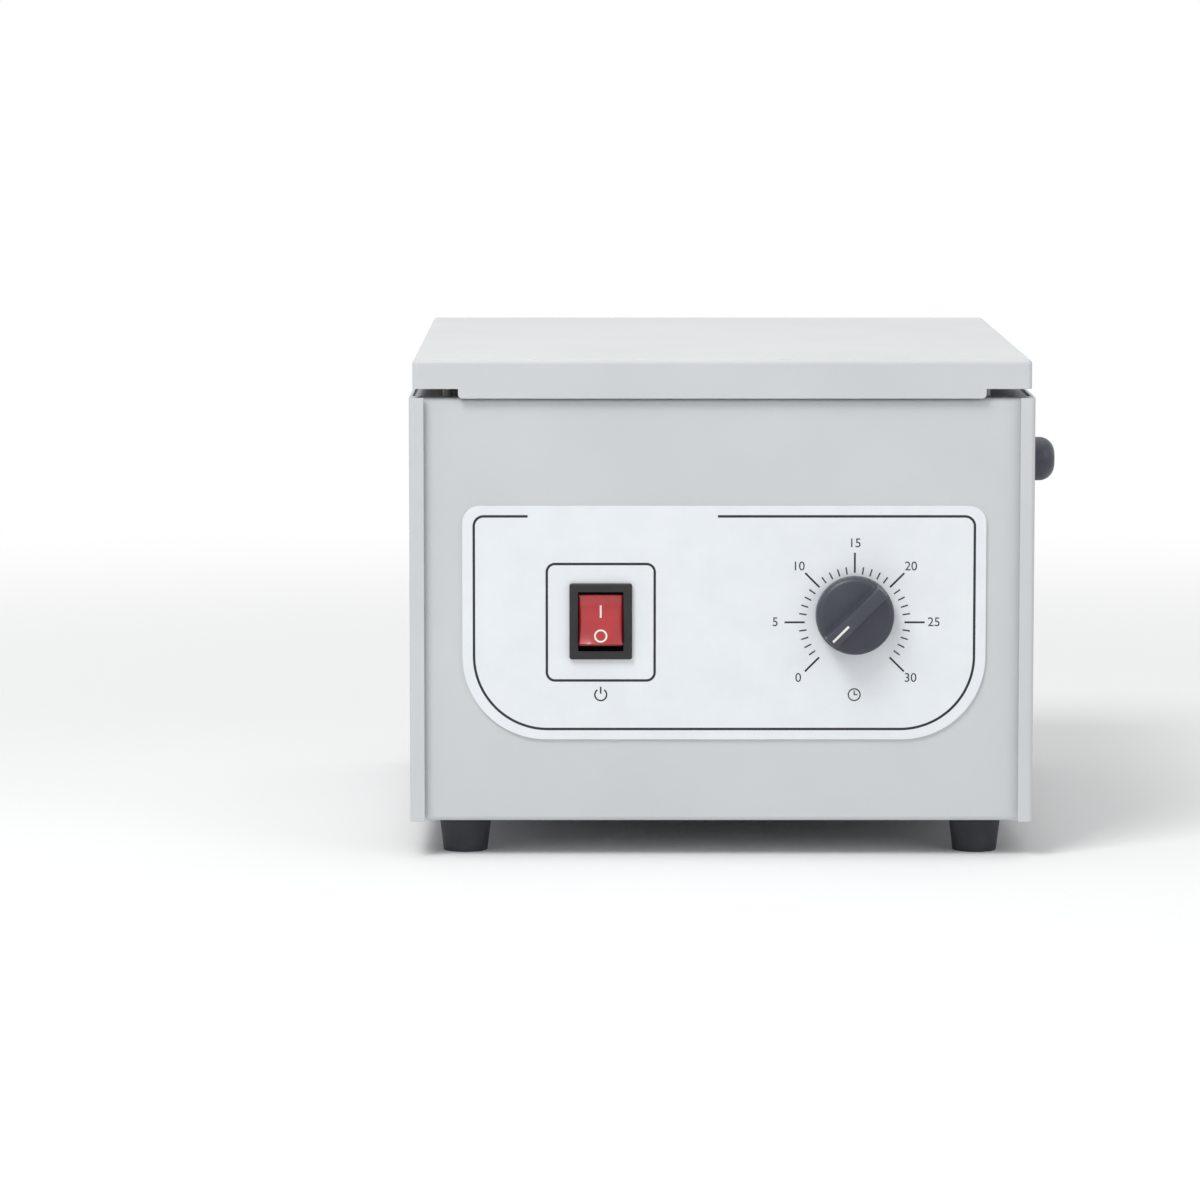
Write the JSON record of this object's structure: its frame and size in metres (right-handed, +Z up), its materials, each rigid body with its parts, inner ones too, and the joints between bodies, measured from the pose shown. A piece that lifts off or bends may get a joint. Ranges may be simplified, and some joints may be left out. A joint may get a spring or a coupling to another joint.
{
  "type": "bench centrifuge",
  "caption": "Small bench centrifuge: folded steel case with hinged lid and rubber feet, front rocker switch and dial timer, side lid lock, angle rotor in a steel bowl, motor and mains inlet.",
  "frame": {"origin": "on the bench, under the middle of the whole instrument, knobs, screws and hinges included", "axes": "+Z up, -Y out of the front with the controls, +X to the right seen from the front"},
  "size_m": [0.2664, 0.3109, 0.204],
  "materials": {
    "case_paint": "light grey powder coat, satin",
    "inner_paint": "light grey powder coat, matt",
    "zinc_steel": "zinc plated, satin",
    "turned_steel": "turned and polished",
    "stainless_bowl": "spun stainless steel",
    "rotor_alloy": "machined, clear anodised",
    "sleeve_metal": "drawn, satin anodised",
    "lamination": "stacked laminations, varnished",
    "winding": "enamelled copper",
    "terminal_brass": "tinned brass",
    "label_print": "screen printed sheet, white",
    "bezel_black": "moulded, fine grain",
    "rocker_red": "moulded, glossy red",
    "knob_charcoal": "moulded, satin charcoal",
    "fan_plastic": "moulded, off-white",
    "rubber_black": "moulded, matt",
    "fuse_glass": "clear tube with plated caps",
    "wire_sleeve": "flexible sleeve, matt black"
  },
  "bodies": {
    "case": {"base_plate": "inner_paint", "side_panel_left": "case_paint", "side_panel_right": "case_paint", "front_panel": "case_paint", "rear_panel": "case_paint", "top_deck": "inner_paint", "case_screws": "zinc_steel", "rating_plate": "rotor_alloy", "rubber_feet": "rubber_black", "foot_screws": "zinc_steel", "rotor_bowl": "stainless_bowl", "bowl_screws": "zinc_steel", "bowl_seal": "rubber_black", "lid_bumpers": "rubber_black", "hinge_leaves_fixed": "zinc_steel", "hinge_rivets_fixed": "zinc_steel", "hinge_pins": "zinc_steel", "lock_bush": "zinc_steel", "lock_nut": "zinc_steel", "lid_switch": "bezel_black", "control_label": "label_print", "switch_housing": "bezel_black", "timer_case": "bezel_black", "timer_nut": "zinc_steel", "blade_terminals": "terminal_brass", "vibration_mounts": "rubber_black", "motor_bracket": "zinc_steel", "motor_end_cap_lower": "rotor_alloy", "motor_end_cap_upper": "rotor_alloy", "motor_stator": "lamination", "stator_windings": "winding", "motor_bolts": "zinc_steel", "motor_bearings": "zinc_steel", "bowl_boot": "rubber_black", "mains_inlet": "bezel_black", "inlet_pins": "terminal_brass", "run_capacitor": "fan_plastic", "capacitor_strap": "zinc_steel", "wiring": "wire_sleeve"},
    "lid": {"lid_shell": "case_paint", "lid_liner": "inner_paint", "lid_catch": "zinc_steel", "hinge_leaves_lid": "zinc_steel", "hinge_rivets_lid": "zinc_steel"},
    "lid_lock": {"lock_knob": "knob_charcoal", "lock_spindle": "turned_steel", "lock_cam": "zinc_steel"},
    "rocker": {"power_rocker": "rocker_red"},
    "timer": {"timer_knob": "knob_charcoal", "timer_spindle": "turned_steel"},
    "rotor": {"motor_shaft": "turned_steel", "motor_armature": "lamination", "cooling_fan": "fan_plastic", "rotor_head": "rotor_alloy", "tube_sleeves": "sleeve_metal", "sleeve_cushions": "rubber_black", "rotor_nut": "rotor_alloy"},
    "plunger": {"lid_switch_plunger": "fan_plastic"},
    "drawer": {"fuse_drawer": "bezel_black", "fuse": "fuse_glass"}
  },
  "joints": [
    {"name": "lid_hinge", "type": "hinge", "parent": "case", "child": "lid", "pos_m": [-0.0046, 0.15245, 0.19015], "axis": [-1, 0, 0], "range_deg": [0, 100]},
    {"name": "lid_lock", "type": "hinge", "parent": "case", "child": "lid_lock", "pos_m": [0.1242, -0.10065, 0.1604], "axis": [1, 0, 0], "range_deg": [0, 90]},
    {"name": "power_rocker", "type": "hinge", "parent": "case", "child": "rocker", "pos_m": [-0.0538, -0.13625, 0.0972], "axis": [1, 0, 0], "range_deg": [0, 20]},
    {"name": "timer_turn", "type": "hinge", "parent": "case", "child": "timer", "pos_m": [0.0495, -0.13765, 0.0999], "axis": [0, 1, 0], "range_deg": [0, 270]},
    {"name": "rotor_spin", "type": "hinge", "parent": "case", "child": "rotor", "pos_m": [-0.0046, 0.02135, 0.1], "axis": [0, 0, 1], "continuous": true},
    {"name": "lid_switch_travel", "type": "slide", "parent": "case", "child": "plunger", "axis": [0, 0, 1], "range_m": [0, 0.002]},
    {"name": "fuse_drawer_slide", "type": "slide", "parent": "case", "child": "drawer", "axis": [0, 1, 0], "range_m": [0, 0.018]}
  ],
  "couplings": [
    {"joint": "lid_switch_travel", "follows": "lid_hinge", "m_per_rad": 0.00114}
  ]
}
